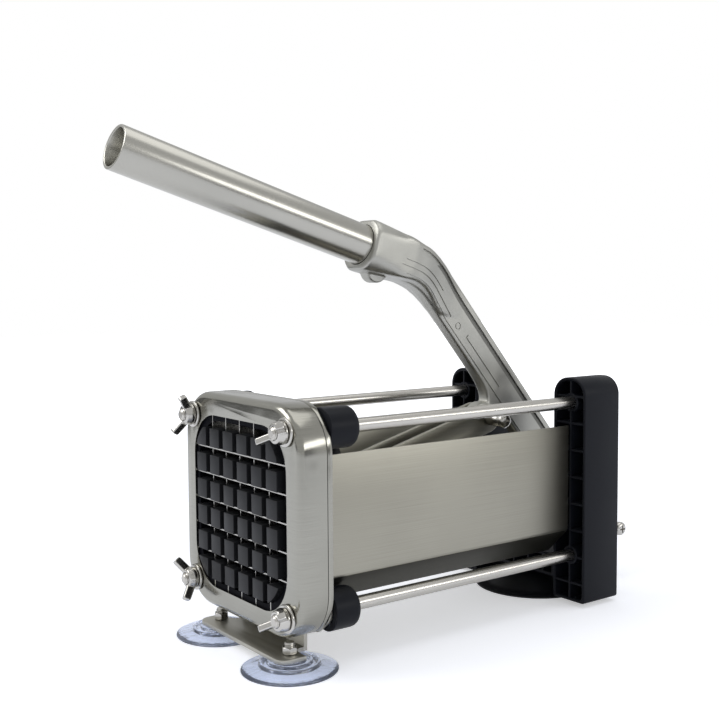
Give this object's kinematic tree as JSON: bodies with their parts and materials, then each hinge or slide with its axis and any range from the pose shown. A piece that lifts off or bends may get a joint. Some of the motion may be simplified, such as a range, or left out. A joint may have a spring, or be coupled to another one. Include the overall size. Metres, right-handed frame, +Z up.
{
  "type": "french fry cutter",
  "caption": "Lever-operated fry cutter: a ram of square pegs slides in a folded steel trough and pushes through a blade grid, between a pressed cover and a ribbed rear frame.",
  "frame": {"origin": "middle of the footprint of the bounding box, on the surface that the machine stands on", "axes": "+X to the right seen from the blade end, +Y from the blade end to the lever pivot, +Z up"},
  "size_m": [0.1058, 0.31, 0.2376],
  "materials": {
    "stainless": "satin brushed",
    "ground_steel": "ground bright",
    "fastener": "bright plated",
    "casting": "satin as cast",
    "black_plastic": "satin moulded",
    "black_rubber": "matte",
    "clear_cup": "clear soft vinyl"
  },
  "bodies": {
    "frame": {"front_cover": "stainless", "back_plate": "stainless", "blade_holder": "black_plastic", "blade_level_1": "stainless", "blade_upright_1": "stainless", "blade_level_2": "stainless", "blade_upright_2": "stainless", "blade_level_3": "stainless", "blade_upright_3": "stainless", "blade_level_4": "stainless", "blade_upright_4": "stainless", "blade_level_5": "stainless", "blade_upright_5": "stainless", "tie_rod_top_right": "ground_steel", "sleeve_top_right": "black_plastic", "washer_top_right": "fastener", "wing_nut_top_right": "fastener", "rear_screw_top_right": "fastener", "tie_rod_top_left": "ground_steel", "sleeve_top_left": "black_plastic", "washer_top_left": "fastener", "wing_nut_top_left": "fastener", "rear_screw_top_left": "fastener", "tie_rod_bottom_left": "ground_steel", "sleeve_bottom_left": "black_plastic", "washer_bottom_left": "fastener", "wing_nut_bottom_left": "fastener", "rear_screw_bottom_left": "fastener", "tie_rod_bottom_right": "ground_steel", "sleeve_bottom_right": "black_plastic", "washer_bottom_right": "fastener", "wing_nut_bottom_right": "fastener", "rear_screw_bottom_right": "fastener", "trough": "stainless", "rear_frame": "black_plastic", "foot_bracket": "stainless", "rear_suction_cup": "black_rubber", "front_suction_cup_right": "clear_cup", "cup_stud_right": "fastener", "cup_nut_right": "fastener", "bracket_screw_right": "fastener", "front_suction_cup_left": "clear_cup", "cup_stud_left": "fastener", "cup_nut_left": "fastener", "bracket_screw_left": "fastener", "pivot_bracket": "stainless", "pivot_bolt": "fastener", "pivot_sleeve": "fastener", "pivot_nut": "fastener"},
    "lever": {"lever_arm": "casting", "handle_tube": "stainless", "link_bolt": "fastener", "link_sleeve": "fastener", "link_nut": "fastener"},
    "link": {"link_plate_right": "stainless", "link_plate_left": "stainless", "link_pin": "fastener"},
    "ram": {"ram": "black_plastic", "ram_hook": "stainless", "hook_screw": "fastener"}
  },
  "joints": [
    {"name": "lever_pivot", "type": "hinge", "parent": "frame", "child": "lever", "pos_m": [0, 0.14302, 0.0282], "axis": [-1, 0, 0], "range_deg": [0, 53]},
    {"name": "link_joint", "type": "hinge", "parent": "lever", "child": "link", "pos_m": [0, 0.05412, 0.0979], "axis": [-1, 0, 0], "range_deg": [-79.59, 0]},
    {"name": "ram_slide", "type": "slide", "parent": "frame", "child": "ram", "axis": [0, 1, 0], "range_m": [0, 0.11414]}
  ],
  "couplings": [
    {"joint": "link_joint", "follows": "lever_pivot", "ratio": -1.5007},
    {"joint": "ram_slide", "follows": "lever_pivot", "m_per_rad": 0.12334}
  ]
}
